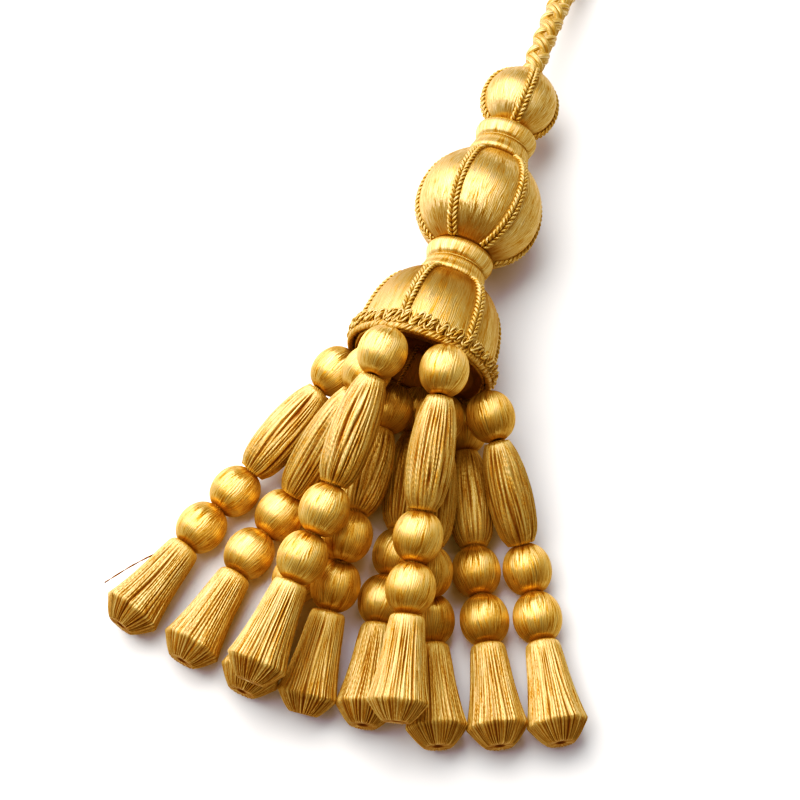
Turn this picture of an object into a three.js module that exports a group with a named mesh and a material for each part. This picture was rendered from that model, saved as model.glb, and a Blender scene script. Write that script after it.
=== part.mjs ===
// Silk tassel lying on a table: thread-covered head moulds in a row and ten strings of covered beads.
// Millimetres, +Z up. The head's axis lies along +Y, and the strings fan out towards -Y.
import * as THREE from "three";

const gap = 0.3; // between neighbouring pieces
const threadGap = 0.5; // between the beads of one string
const hemHeight = 20.4; // centre of the bell's hem above the table
const headSlopeDeg = 2.8; // the axis drops this much from the hem towards the cord

const bell = { length: 26.2, hemRadius: 19.3, topRadius: 10, foot: 3, recessRadius: 15.8, recessDepth: 9 };
const braid = { width: 5, thickness: 1.4, overhang: 0.3, loops: 36, loopDepth: 0.5, edge: 0.5 };
const lowerCollar = { length: 10.8, radius: 9.6, groove: 0.8, round: 0.7 };
const pumpkin = { length: 30.4, radius: 18.3, endRadius: 8.6 };
const upperCollar = { length: 10.7, radius: 8.9, groove: 0.7, round: 0.7 };
const crownBall = { length: 20.7, radius: 11, endRadius: 3.4 };
const cordPair = { halfAngleDeg: 5, height: 0.7, crease: 0.045 }; // two thin cords laid side by side
const headCordsDeg = -80; // first cord pair of the pumpkin and bell, from the top towards +X
const crownCordsDeg = -78;

const ball = { length: 13.2, radius: 6.7, sides: 10, holeDepth: 1 };
const olive = { radius: 6.15, ribs: 9, ribDepth: 0.35 };
const drop = { length: 27.8, rimRadius: 7.75, rimAt: 21.9, rim: 1.8, ribs: 9, ribDepth: 0.3, holeDepth: 1.5 };
const cord = { diameter: 6.4, sides: 8, steps: 12 };
const knot = { length: 13, radius: 6.2, sides: 12, pressed: 0.05 };

const silk = { color: 0xd9ac52, roughness: 0.42, metalness: 0 };
const floss = { color: 0xe3ba66, roughness: 0.36, metalness: 0 };
const yarn = { color: 0xd0a045, roughness: 0.7, metalness: 0 };

// One row per string: its top ball's centre, its olive's length, then the heading (degrees from -Y
// towards +X) of the olive, the two lower balls and the drop, and the heights they lie at.
const stringColumns = [
  "x", "y", "z", "oliveLength", "oliveYaw", "midZ", "ballYaw", "lowZ", "dropYaw", "rimZ",
];
const stringRows = [
  [-21.4, -7.6, 16.6, 28.8, -22, 6.37, -21, 6.37, -17, 7.5],
  [-11.4, -9.4, 28.8, 32.5, -16.5, 6.37, -17, 6.37, -10, 7.5],
  [-7.4, -8.2, 42.3, 30, -1.5, 30.6, -6, 26.8, -3.5, 22.8],
  [-11.5, -7.8, 6.37, 29, 4.5, 6.37, -18, 6.37, -4.5, 7.5],
  [-3.8, -13.6, 17.8, 24.5, 3, 19.4, 4, 13.4, 5, 7.5],
  [2.6, -7.8, 6.37, 27.5, 11.4, 6.37, 3, 6.37, 11, 7.5],
  [9.3, -6.5, 39, 30.2, 10, 27.2, 11, 24.5, 13, 20.9],
  [10.4, -12.6, 20, 28, 15, 14.6, 22, 6.37, 22.5, 7.5],
  [16.2, -8.3, 6.37, 27.2, 23.5, 6.37, 28, 6.37, 25, 7.5],
  [23.4, -7.6, 20.2, 28.3, 33.5, 6.37, 29.5, 6.37, 28, 7.5],
];

// Middle of the suspension cord past the crown ball: distance along Y, sideways drift and height.
const cordColumns = ["along", "drift", "height"];
const cordRows = [
  [0, 0, 15.5],
  [5, 0, 15.25],
  [10, 0, 14.85],
  [15, 0, 14.25],
  [20, 0, 13.35],
  [25, 0, 12.15],
  [30, 0.2, 10.7],
  [35, 0.5, 9.2],
  [40, 0.9, 7.7],
  [45, 1.4, 6.35],
  [50, 2.1, 5.15],
  [55, 2.85, 4.25],
  [60, 3.7, 3.6],
  [65, 4.6, 3.2],
  [70, 5.6, 3],
  [75, 6.7, 3],
  [80, 7.8, 3],
];

const up = new THREE.Vector3(0, 0, 1);
const named = (columns, rows) =>
  rows.map((row) => Object.fromEntries(columns.map((column, i) => [column, row[i]])));

// Closed skin over rings of points: each ring is [along, radius], and the ends close on the axis.
function wound(rings, angles, shape, startDepth = 0, endDepth = 0) {
  const points = [];
  const faces = [];
  const count = angles.length;
  rings.forEach(([along, radius], row) => {
    angles.forEach((angle, i) => {
      const r = shape(radius, angle, row, i);
      points.push(r * Math.cos(angle), r * Math.sin(angle), along);
    });
  });
  const first = points.length / 3;
  points.push(0, 0, rings[0][0] + startDepth);
  points.push(0, 0, rings[rings.length - 1][0] - endDepth);
  const lastRing = (rings.length - 1) * count;
  for (let i = 0; i < count; i += 1) {
    const j = (i + 1) % count;
    faces.push(first, j, i);
    faces.push(first + 1, lastRing + i, lastRing + j);
    for (let row = 0; row < rings.length - 1; row += 1) {
      const a = row * count;
      const b = a + count;
      faces.push(a + i, a + j, b + j);
      faces.push(a + i, b + j, b + i);
    }
  }
  return skin(points, faces);
}

function skin(points, faces) {
  const geometry = new THREE.BufferGeometry();
  geometry.setAttribute("position", new THREE.Float32BufferAttribute(points, 3));
  geometry.setIndex(faces);
  geometry.computeVertexNormals();
  return geometry;
}

// Evenly spaced angles with a flat facing the table (local -Y).
function evenAngles(count) {
  const step = (2 * Math.PI) / count;
  return Array.from({ length: count }, (_, i) => -Math.PI / 2 + (i + 0.5) * step);
}

// Three points to a rib: two on its crest and one in the valley, with a crest facing the table.
function ribAngles(ribs) {
  const step = (2 * Math.PI) / ribs;
  const angles = [];
  for (let i = 0; i < ribs; i += 1) {
    const crest = -Math.PI / 2 + i * step;
    angles.push(crest - step * 0.27, crest + step * 0.27, crest + step * 0.5);
  }
  return angles;
}
const ribbed = (depth) => (radius, angle, row, i) => (i % 3 === 2 ? radius - depth : radius);
const plain = (radius) => radius;

// Panels between cord pairs: the two cords stand up from a crease, and the floss swells between them.
function panelAngles(pairs, firstDeg) {
  const step = (2 * Math.PI) / pairs;
  const half = THREE.MathUtils.degToRad(cordPair.halfAngleDeg);
  const angles = [];
  for (let i = 0; i < pairs; i += 1) {
    const pair = -Math.PI / 2 + THREE.MathUtils.degToRad(firstDeg) + i * step;
    angles.push(pair - half, pair - half * 0.5, pair + half * 0.5, pair + half);
    angles.push(pair + step * 0.27, pair + step * 0.5, pair + step * 0.73);
  }
  return angles;
}
const panelCrease = [1, 1, 1, 1, 0.3, 0, 0.3]; // share of the crease at each point of a panel
const panelCord = [0, 1, 1, 0, 0, 0, 0]; // where the cords stand up
function panelled(creased, corded) {
  return (radius, angle, row, i) => {
    const k = i % panelCord.length;
    const floss = radius * (1 - creased(row) * cordPair.crease * panelCrease[k]);
    return floss + corded(row) * cordPair.height * panelCord[k];
  };
}

function mesh(name, geometry, look) {
  const made = new THREE.Mesh(geometry, new THREE.MeshStandardMaterial(look));
  made.name = name;
  return made;
}

const tassel = new THREE.Group();
const head = new THREE.Group();
const slope = THREE.MathUtils.degToRad(headSlopeDeg);
head.position.set(0, 0, hemHeight);
head.rotation.x = -(Math.PI / 2 + slope); // local +Z runs from the hem to the cord, local -Y is up
tassel.add(head);

// Bell: a dome, straight up to its foot, with a plain recess under its hem.
const domeSteps = [0.36, 0.55, 0.72, 0.86, 1]; // share of the length at each ring
const domeRise = (bell.length - bell.foot) / Math.sqrt(1 - (bell.topRadius / bell.hemRadius) ** 2);
const domeRadius = (along) => bell.hemRadius * Math.sqrt(1 - ((along - bell.foot) / domeRise) ** 2);
const bellRings = [
  [bell.recessDepth, bell.recessRadius * 0.7],
  [0, bell.recessRadius],
  [0, bell.hemRadius - gap],
  [gap, bell.hemRadius],
  [braid.width + 2 * gap, bell.hemRadius],
];
domeSteps.forEach((share) => bellRings.push([share * bell.length, domeRadius(share * bell.length)]));
const bellRidge = (row) => (row > 4 && row < bellRings.length - 1 ? 1 : 0);
head.add(
  mesh(
    "bell",
    wound(bellRings, panelAngles(6, headCordsDeg), panelled((row) => bellRidge(row) * 0.6, bellRidge)),
    floss,
  ),
);

// Hem braid: a band round the hem, its face and edges waved by the loops.
function braidRing() {
  const count = braid.loops * 2;
  const inner = bell.hemRadius + gap;
  const points = [];
  const faces = [];
  for (let i = 0; i < count; i += 1) {
    const angle = (2 * Math.PI * i) / count;
    const between = i % 2; // 0 on a loop, 1 between two
    const outer = inner + braid.thickness - braid.loopDepth * between;
    const low = -braid.overhang + braid.edge * between;
    const high = braid.width - braid.edge * between;
    const section = [
      [inner, low],
      [outer, low + braid.edge],
      [outer, high - braid.edge],
      [inner, high],
    ];
    section.forEach(([r, along]) => points.push(r * Math.cos(angle), r * Math.sin(angle), along));
    const a = i * 4;
    const b = ((i + 1) % count) * 4;
    for (let k = 0; k < 4; k += 1) {
      const n = (k + 1) % 4;
      faces.push(a + k, b + k, b + n);
      faces.push(a + k, b + n, a + n);
    }
  }
  return skin(points, faces);
}
head.add(mesh("hem_braid", braidRing(), yarn));

// Collars: two rounded bands with a narrow wound groove between them.
function collarGeometry({ length, radius, groove, round }) {
  const rings = [
    [0, radius - round],
    [length * 0.08, radius],
    [length * 0.32, radius],
    [length * 0.4, radius - groove],
    [length * 0.6, radius - groove],
    [length * 0.68, radius],
    [length * 0.92, radius],
    [length, radius - round],
  ];
  return wound(rings, evenAngles(24), plain);
}
let along = bell.length + gap;
const lowerCollarMesh = mesh("lower_collar", collarGeometry(lowerCollar), silk);
lowerCollarMesh.position.z = along;
head.add(lowerCollarMesh);
along += lowerCollar.length + gap;

// An oval cut off square at both ends, where its radius is endRadius.
function moulded({ length, radius, endRadius }, shares) {
  const reach = length / 2 / Math.sqrt(1 - (endRadius / radius) ** 2);
  const radiusAt = (share) => radius * Math.sqrt(1 - (((share - 0.5) * length) / reach) ** 2);
  return shares.map((share) => [share * length, radiusAt(share)]);
}

// Pumpkin: a lobed ball with a cord pair in each groove.
const pumpkinRings = moulded(pumpkin, [0, 0.07, 0.18, 0.32, 0.45, 0.55, 0.68, 0.82, 0.93, 1]);
const betweenEnds = (rings) => (row) => (row > 0 && row < rings.length - 1 ? 1 : 0);
const pumpkinMesh = mesh(
  "pumpkin",
  wound(
    pumpkinRings,
    panelAngles(6, headCordsDeg),
    panelled(betweenEnds(pumpkinRings), betweenEnds(pumpkinRings)),
  ),
  floss,
);
pumpkinMesh.position.z = along;
head.add(pumpkinMesh);
along += pumpkin.length + gap;

const upperCollarMesh = mesh("upper_collar", collarGeometry(upperCollar), silk);
upperCollarMesh.position.z = along;
head.add(upperCollarMesh);
along += upperCollar.length + gap;

// Crown ball: four panels with a cord pair between them.
const crownRings = moulded(crownBall, [0, 0.06, 0.18, 0.36, 0.64, 0.82, 0.94, 1]);
const crownMesh = mesh(
  "crown_ball",
  wound(
    crownRings,
    panelAngles(4, crownCordsDeg),
    panelled((row) => 0.6 * betweenEnds(crownRings)(row), betweenEnds(crownRings)),
  ),
  floss,
);
crownMesh.position.z = along;
head.add(crownMesh);
along += crownBall.length + gap;

// Suspension cord: out of the crown ball along the axis, then down onto the table, ending in a knot.
const exitY = along * Math.cos(slope);
const route = named(cordColumns, cordRows).map((p) => new THREE.Vector3(p.drift, exitY + p.along, p.height));
const cordCurve = new THREE.CatmullRomCurve3(route);
const cordRadius = cord.diameter / 2;
const onCord = (angle) => new THREE.Vector2(cordRadius * Math.cos(angle), cordRadius * Math.sin(angle));
const cordSection = new THREE.Shape(evenAngles(cord.sides).map(onCord));
const cordMesh = mesh(
  "suspension_cord",
  new THREE.ExtrudeGeometry(cordSection, { steps: cord.steps, extrudePath: cordCurve }),
  yarn,
);
tassel.add(cordMesh);

// Places a wound piece with its axis along the heading and its underside towards the table.
function lay(piece, start, heading) {
  const side = new THREE.Vector3().crossVectors(up, heading).normalize();
  const lift = new THREE.Vector3().crossVectors(heading, side);
  piece.position.copy(start);
  piece.setRotationFromMatrix(new THREE.Matrix4().makeBasis(side, lift, heading));
  tassel.add(piece);
}

// Rings of the knot and the beads below: place along the axis, then radius.
const knotRings = [
  [0, 3.4],
  [1.2, 5],
  [4, knot.radius],
  [9, knot.radius],
  [11.8, 5],
  [knot.length, 3],
];
const cordEnd = route[route.length - 1];
const cordHeading = cordCurve.getTangent(1).setZ(0).normalize();
const knotHeight = knot.radius * Math.cos(Math.PI / knot.sides) - knot.pressed;
const knotStart = new THREE.Vector3(cordEnd.x, cordEnd.y, knotHeight).addScaledVector(cordHeading, gap);
lay(mesh("cord_knot", wound(knotRings, evenAngles(knot.sides), plain), yarn), knotStart, cordHeading);

// Beads of a string, each with its axis along local +Z from the hem end to the free end.
const ballRings = [
  [0, 1.6],
  [0.14, 4.7],
  [0.39, ball.radius],
  [0.61, ball.radius],
  [0.86, 4.7],
  [1, 1.6],
].map(([share, radius]) => [share * ball.length, radius]);
const ballGeometry = () => wound(ballRings, evenAngles(ball.sides), plain, ball.holeDepth, ball.holeDepth);

const oliveProfile = [
  [0, 0.5],
  [0.14, 0.76],
  [0.36, 0.95],
  [0.62, 1],
  [0.86, 0.86],
  [1, 0.53],
];
const oliveGeometry = (length) =>
  wound(
    oliveProfile.map(([share, radius]) => [share * length, radius * olive.radius]),
    ribAngles(olive.ribs),
    ribbed(olive.ribDepth),
  );

const dropRings = [
  [0, 3.7],
  [1, 4.4],
  [11, 5.5],
  [drop.rimAt - drop.rim / 2, drop.rimRadius],
  [drop.rimAt + drop.rim / 2, drop.rimRadius],
  [drop.length - 1.2, 4],
  [drop.length, 2.5],
];
const dropGeometry = () => wound(dropRings, ribAngles(drop.ribs), ribbed(drop.ribDepth), 0, drop.holeDepth);

// Direction with a heading in the table's plane that rises by `rise` over `run` along its own length.
function heading(yawDeg, rise, run) {
  const yaw = THREE.MathUtils.degToRad(yawDeg);
  const flat = Math.sqrt(1 - (rise / run) ** 2);
  return new THREE.Vector3(Math.sin(yaw) * flat, -Math.cos(yaw) * flat, rise / run);
}

named(stringColumns, stringRows).forEach((row, i) => {
  const label = `string_${String(i + 1).padStart(2, "0")}`;
  const ballHalf = ball.length / 2;
  const pastBall = ballHalf + threadGap;
  const topToMid = ball.length + 2 * threadGap + row.oliveLength;
  const midToLow = ball.length + threadGap;
  const lowToRim = pastBall + drop.rimAt;
  const oliveWay = heading(row.oliveYaw, row.midZ - row.z, topToMid);
  const ballWay = heading(row.ballYaw, row.lowZ - row.midZ, midToLow);
  const dropWay = heading(row.dropYaw, row.rimZ - row.lowZ, lowToRim);
  const top = new THREE.Vector3(row.x, row.y, row.z);
  const mid = top.clone().addScaledVector(oliveWay, topToMid);
  const low = mid.clone().addScaledVector(ballWay, midToLow);
  const flatWay = heading(row.oliveYaw, 0, 1);
  const from = (centre, way, distance) => centre.clone().addScaledVector(way, distance);
  lay(mesh(`${label}_top_ball`, ballGeometry(), floss), from(top, flatWay, -ballHalf), flatWay);
  lay(mesh(`${label}_olive`, oliveGeometry(row.oliveLength), yarn), from(top, oliveWay, pastBall), oliveWay);
  lay(mesh(`${label}_mid_ball`, ballGeometry(), floss), from(mid, ballWay, -ballHalf), ballWay);
  lay(mesh(`${label}_low_ball`, ballGeometry(), floss), from(low, dropWay, -ballHalf), dropWay);
  lay(mesh(`${label}_drop`, dropGeometry(), yarn), from(low, dropWay, pastBall), dropWay);
});

// Whatever presses on the table is flattened there.
tassel.updateMatrixWorld(true);
tassel.traverse((piece) => {
  if (!piece.isMesh) return;
  const inverse = piece.matrixWorld.clone().invert();
  const position = piece.geometry.getAttribute("position");
  const point = new THREE.Vector3();
  for (let i = 0; i < position.count; i += 1) {
    point.fromBufferAttribute(position, i).applyMatrix4(piece.matrixWorld);
    if (point.z < 0) {
      point.setZ(0).applyMatrix4(inverse);
      position.setXYZ(i, point.x, point.y, point.z);
    }
  }
});

// The origin is on the table, under the middle of everything but the cord and its knot.
const box = new THREE.Box3();
tassel.traverse((piece) => {
  if (piece.isMesh && piece !== cordMesh && piece.name !== "cord_knot") box.expandByObject(piece, true);
});
tassel.position.set(-(box.min.x + box.max.x) / 2, -(box.min.y + box.max.y) / 2, -box.min.z);
tassel.updateMatrixWorld(true);

export default tassel;
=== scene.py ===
import math
from types import SimpleNamespace

import bpy
from mathutils import Matrix, Vector


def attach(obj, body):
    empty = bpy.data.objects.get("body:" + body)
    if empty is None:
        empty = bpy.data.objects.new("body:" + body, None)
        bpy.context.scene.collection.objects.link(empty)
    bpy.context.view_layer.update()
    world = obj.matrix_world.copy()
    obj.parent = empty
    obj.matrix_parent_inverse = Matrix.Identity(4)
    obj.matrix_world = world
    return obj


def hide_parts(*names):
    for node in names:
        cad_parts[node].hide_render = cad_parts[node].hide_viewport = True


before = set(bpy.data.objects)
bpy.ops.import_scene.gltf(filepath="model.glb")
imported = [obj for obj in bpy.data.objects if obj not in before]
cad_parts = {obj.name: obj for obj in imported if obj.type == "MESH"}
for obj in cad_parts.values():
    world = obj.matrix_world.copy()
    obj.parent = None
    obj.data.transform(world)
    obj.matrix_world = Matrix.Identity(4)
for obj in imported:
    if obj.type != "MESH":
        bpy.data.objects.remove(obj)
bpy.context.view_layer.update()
scene = bpy.context.scene
mm = 0.001
inMillimetres = 1000
fullTurn = 2 * math.pi
quarterTurn = math.pi / 2
up = Vector((0, 0, 1))


# Camera, at the angle of the photograph
photoView = {
    "azimuth": 19.35,  # degrees round the object
    "elevation": 68.0,  # degrees above the table
    "distance": 0.600,  # metres
    "lens": 95.6,
    "target": Vector((-0.0117, -0.0039, 0.0)),
}


def addCamera(view):
    turn = math.radians(view["azimuth"])
    tip = math.radians(view["elevation"])
    back = Vector((math.sin(turn) * math.cos(tip), -math.cos(turn) * math.cos(tip), math.sin(tip)))
    camera = bpy.data.objects.new("camera", bpy.data.cameras.new("camera"))
    camera.data.lens = view["lens"]
    camera.location = view["target"] + back * view["distance"]
    camera.rotation_euler = (-back).to_track_quat("-Z", "Y").to_euler()
    scene.collection.objects.link(camera)
    scene.camera = camera
    print("camera placed")


addCamera(photoView)


# Node helpers: a field is one output socket, and sums on fields become math nodes
class Field:
    def __init__(self, tree, socket):
        self.tree = tree
        self.socket = socket

    def math(self, operation, *others):
        node = self.tree.nodes.new("ShaderNodeMath")
        node.operation = operation
        for slot, value in enumerate((self, *others)):
            feed(node, slot, value)
        return Field(self.tree, node.outputs[0])

    def other(self, label):  # another output of the same node
        return Field(self.tree, self.socket.node.outputs[label])

    def __add__(self, value):
        return self.math("ADD", value)

    def __sub__(self, value):
        return self.math("SUBTRACT", value)

    def __rsub__(self, value):
        return self.math("MULTIPLY", -1).math("ADD", value)

    def __mul__(self, value):
        return self.math("MULTIPLY", value)

    def __truediv__(self, value):
        return self.math("DIVIDE", value)

    def __pow__(self, value):
        return self.math("POWER", value)

    def clamped(self):
        return self.math("MAXIMUM", 0).math("MINIMUM", 1)

    __radd__ = __add__


def feed(node, key, value):
    if isinstance(key, str):
        socket = next(s for s in node.inputs if s.name == key and s.enabled)
    else:
        socket = node.inputs[key]
    if isinstance(value, Field):
        value.tree.links.new(value.socket, socket)
    else:
        socket.default_value = value


def put(tree, kind, inputs=None, output=0, **settings):
    node = tree.nodes.new(kind)
    for key, value in settings.items():
        setattr(node, key, value)
    for key, value in (inputs or {}).items():
        feed(node, key, value)
    return Field(tree, node.outputs[output])


def vector(tree, x, y, z=0.0):
    return put(tree, "ShaderNodeCombineXYZ", {0: x, 1: y, 2: z})


def vectorMath(tree, operation, a, b):
    slot = "Scale" if operation == "SCALE" else 1
    return put(tree, "ShaderNodeVectorMath", {0: a, slot: b}, operation=operation)


def noise(tree, place, seed, detail=1.0):
    inputs = {"Vector": place, "W": seed, "Scale": 1.0, "Detail": detail}
    return put(tree, "ShaderNodeTexNoise", inputs, noise_dimensions="4D")


def smoothStep(field, low, high):
    inputs = {"Value": field, "From Min": low, "From Max": high}
    return put(field.tree, "ShaderNodeMapRange", inputs, interpolation_type="SMOOTHSTEP")


def store(geometry, name, value, kind="FLOAT", domain="POINT"):
    inputs = {"Geometry": geometry, "Name": name, "Value": value}
    return put(geometry.tree, "GeometryNodeStoreNamedAttribute", inputs, data_type=kind, domain=domain)


def stored(tree, name, kind="FLOAT"):
    return put(tree, "GeometryNodeInputNamedAttribute", {"Name": name}, data_type=kind)


def copies(line, amount):
    inputs = {"Geometry": line, "Amount": amount}
    return put(line.tree, "GeometryNodeDuplicateElements", inputs, domain="SPLINE")


def stepped(line, step):
    return put(line.tree, "GeometryNodeResampleCurve", {"Curve": line, "Length": step}, mode="LENGTH")


def geometryTree(name, **inputs):
    tree = bpy.data.node_groups.new(name, "GeometryNodeTree")
    tree.interface.new_socket("geometry", in_out="INPUT", socket_type="NodeSocketGeometry")
    tree.interface.new_socket("geometry", in_out="OUTPUT", socket_type="NodeSocketGeometry")
    for label, kind in inputs.items():
        tree.interface.new_socket(label, in_out="INPUT", socket_type="NodeSocket" + kind)
    entry = tree.nodes.new("NodeGroupInput")
    given = SimpleNamespace(**{s.name: Field(tree, s) for s in entry.outputs if s.name})
    return tree, given


def closeTree(geometry, cover):
    tree = geometry.tree
    smooth = put(tree, "GeometryNodeSetShadeSmooth", {"Geometry": geometry})
    real = put(tree, "GeometryNodeRealizeInstances", {"Geometry": smooth})
    covered = put(tree, "GeometryNodeSetMaterial", {"Geometry": real, "Material": cover})
    feed(tree.nodes.new("NodeGroupOutput"), 0, covered)
    return tree


def grow(tree, values, start=None):  # values that the tree has no input for are passed over
    source = start or bpy.data.meshes.new("seed")
    holder = bpy.data.objects.new("holder", source)
    scene.collection.objects.link(holder)
    modifier = holder.modifiers.new("shape", "NODES")
    modifier.node_group = tree
    for socket in tree.interface.items_tree:
        if socket.in_out == "INPUT" and socket.name in values:
            modifier[socket.identifier] = values[socket.name]
    graph = bpy.context.evaluated_depsgraph_get()
    made = bpy.data.meshes.new_from_object(
        holder.evaluated_get(graph), preserve_all_data_layers=True, depsgraph=graph
    )
    holder.modifiers.remove(modifier)
    bpy.data.objects.remove(holder)
    bpy.data.meshes.remove(source)
    return made


# Pieces: joined meshes on the body, at the origin, with no point under the table
def pressFlat(mesh):
    for vertex in mesh.vertices:
        vertex.co.z = max(vertex.co.z, 0.0)


def finishPiece(name, meshes, nodes):
    parts = [bpy.data.objects.new(name, mesh) for mesh in meshes]
    for part in parts:
        scene.collection.objects.link(part)
    if len(parts) > 1:
        with bpy.context.temp_override(active_object=parts[0], selected_editable_objects=parts):
            bpy.ops.object.join()
    piece = parts[0]
    piece.name = name
    pressFlat(piece.data)
    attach(piece, "root")
    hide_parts(*nodes)
    print(name, len(piece.data.polygons), "faces")
    return piece


def setInPlace(meshes, place, profile):  # the profile is used up by then
    for mesh in meshes:
        mesh.transform(place)
    bpy.data.objects.remove(profile)


# Silk: each thread leans a little its own way, so the sheen breaks up along the threads
threadGrain = {
    "strayAcross": 0.19,  # noise steps a thread
    "strayAlong": 0.12,  # noise steps a millimetre
    "bundleAlong": 0.06,
    "threadAcross": 1.3,
    "straySeed": 2.0,
    "bundleSeed": 1.0,
    "threadSeed": 4.0,
    "fleckSeed": 7.0,
    "detail": 2.0,
    "twistShift": 6,  # turns that a bundle moves the twist
    "grooveSharp": 3,
    "grooveGain": 3,
    "grooveLevel": 0.6,
    "rampEnds": (0.25, 0.75),
}


def silk(name, look):
    material = bpy.data.materials.new(name)
    material.use_nodes = True
    tree = material.node_tree
    shader = tree.nodes["Principled BSDF"]
    grain = SimpleNamespace(**threadGrain)
    lay = put(tree, "ShaderNodeUVMap", uv_map="threadMap")
    across = put(tree, "ShaderNodeSeparateXYZ", {0: lay})
    along = across.other("Y")
    strayAt = vector(tree, across * grain.strayAcross, along * grain.strayAlong)
    stray = noise(tree, strayAt, grain.straySeed) - 0.5
    across = across + stray * look["stray"]
    bundleAt = vector(tree, across * look["bundle"], along * grain.bundleAlong)
    bundles = noise(tree, bundleAt, grain.bundleSeed, grain.detail) - 0.5
    threadAt = vector(tree, across * grain.threadAcross, along * look["run"])
    threads = noise(tree, threadAt, grain.threadSeed, grain.detail) - 0.5
    fleckAt = vector(tree, across * look["fleck"], along * look["fleck"])
    flecks = noise(tree, fleckAt, grain.fleckSeed) - 0.5

    wound = along * look["twistRate"] + across * look["twistSkew"] + bundles * grain.twistShift
    twist = (wound * fullTurn).math("SINE")
    shade = bundles * look["bundleShade"] + threads * look["threadShade"] + flecks * look["fleckShade"]
    shade = shade + twist * look["twistShade"]
    ramp = put(tree, "ShaderNodeValToRGB", {0: shade + 0.5})
    stops = ramp.socket.node.color_ramp.elements
    for stop, place, colour in zip(stops, grain.rampEnds, (look["dark"], look["light"])):
        stop.position = place
        stop.color = (*colour, 1)
    stops.new(0.5).color = (*look["colour"], 1)
    # painted shade: the stored "gap" attribute, and darker lines between the threads, mixed towards the
    # gap colour
    gap = put(tree, "ShaderNodeAttribute", attribute_name="gap", output="Fac") * look["gapShade"]
    between = 0.5 - (across * fullTurn).math("COSINE") * 0.5
    groove = between**grain.grooveSharp * (threads * grain.grooveGain + grain.grooveLevel).clamped()
    paintedShadeMix = gap.math("MAXIMUM", groove * look["grooveShade"]).clamped()
    mixed = {0: paintedShadeMix, 6: ramp, 7: (*look["gap"], 1)}  # 6 and 7 are the mix node's colours
    colour = put(tree, "ShaderNodeMix", mixed, 2, data_type="RGBA")

    around = put(tree, "ShaderNodeTangent", direction_type="UV_MAP", uv_map="threadMap")
    normal = put(tree, "ShaderNodeNewGeometry", output="Normal")
    endways = vectorMath(tree, "CROSS_PRODUCT", normal, around)
    lean = bundles * look["bundleLean"] + threads * look["threadLean"] + flecks * look["fleckLean"]
    roll = (across * fullTurn).math("SINE") * look["threadRound"] + flecks * look["fleckLean"]
    lean = lean + twist * look["twistLean"]
    bent = vectorMath(tree, "ADD", normal, vectorMath(tree, "SCALE", endways, lean))
    bent = vectorMath(tree, "ADD", bent, vectorMath(tree, "SCALE", around, roll))
    feed(shader, "Base Color", colour)
    feed(shader, "Normal", put(tree, "ShaderNodeVectorMath", {0: bent}, operation="NORMALIZE"))
    feed(shader, "Tangent", around)
    feed(shader, "Metallic", look["metallic"])
    feed(shader, "Roughness", look["roughness"])
    feed(shader, "IOR", look["gloss"])
    feed(shader, "Specular Tint", (*look["tint"], 1))
    feed(shader, "Anisotropic", look["anisotropic"])
    return material


flossLook = {
    "dark": (0.48, 0.21, 0.017),  # the threads in the shade
    "colour": (0.72, 0.49, 0.19),
    "light": (0.9, 0.72, 0.37),
    "gap": (0.2, 0.055, 0.002),  # colour of the painted shade: between strands and threads, at the ends and in hollows
    "tint": (1.0, 0.94, 0.78),
    "gapShade": 0.9,
    "grooveShade": 0.65,
    "twistRate": 0.0,
    "twistSkew": 0.0,
    "twistShade": 0.0,
    "twistLean": 0.0,
    "stray": 3.6,  # threads that a thread wanders
    "run": 0.2,  # noise steps a millimetre along a thread
    "fleck": 2.2,
    "bundle": 0.2,  # noise steps a thread
    "bundleShade": 0.6,
    "threadShade": 1.2,
    "fleckShade": 0.3,
    "bundleLean": 0.2,
    "threadLean": 0.62,
    "fleckLean": 0.25,
    "threadRound": 0.2,
    "metallic": 0.82,
    "gloss": 1.9,
    "roughness": 0.5,
    "anisotropic": 0.84,
}
headLook = {
    **flossLook,
    "light": (0.88, 0.69, 0.34),
    "stray": 5.0,
    "run": 0.34,
    "bundleShade": 0.35,
    "bundleLean": 0.13,
    "roughness": 0.45,
}
# a darker copy of the head floss for the bell: painted shade
bellLook = {
    **headLook,
    "colour": (0.67, 0.45, 0.165),
    "light": (0.83, 0.63, 0.29),
    "bundleShade": 0.75,
    "bundleLean": 0.22,
}
collarLook = {
    **flossLook,
    "colour": (0.76, 0.51, 0.19),
    "light": (0.89, 0.69, 0.33),
    "grooveShade": 0.5,
    "threadLean": 0.4,
    "metallic": 0.75,
}
beadLook = {
    **flossLook,
    "colour": (0.87, 0.56, 0.19),
    "light": (0.94, 0.7, 0.29),
    "stray": 5.0,
    "run": 0.26,
    "threadShade": 1.45,
    "fleckShade": 0.4,
    "threadLean": 0.66,
    "roughness": 0.44,
}
coverLook = {
    **flossLook,
    "colour": (0.84, 0.585, 0.225),
    "light": (0.95, 0.76, 0.35),
    "gapShade": 1.15,
    "grooveShade": 0.3,
    "twistRate": 0.7,  # turns a millimetre
    "twistSkew": 1 / 3,  # three threads a strand
    "twistShade": 0.05,
    "twistLean": 0.13,
    "stray": 2.0,
    "fleck": 2.6,
    "bundle": 0.33,
    "fleckShade": 0.8,
    "threadLean": 0.5,
    "fleckLean": 0.6,
    "metallic": 0.6,
    "gloss": 1.6,
    "anisotropic": 0.7,
}
dropLook = {
    **coverLook,
    "gapShade": 1.1,
    "bundleShade": 0.8,
    "fleckShade": 0.6,
    "fleckLean": 0.45,
}
yarnLook = {
    **flossLook,
    "dark": (0.44, 0.19, 0.018),
    "colour": (0.64, 0.37, 0.07),
    "light": (0.8, 0.55, 0.17),
    "gapShade": 0.95,
    "bundle": 0.4,
    "fleckShade": 0.5,
    "metallic": 0.3,
    "gloss": 1.6,
    "roughness": 0.45,
    "anisotropic": 0.4,
}
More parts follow.
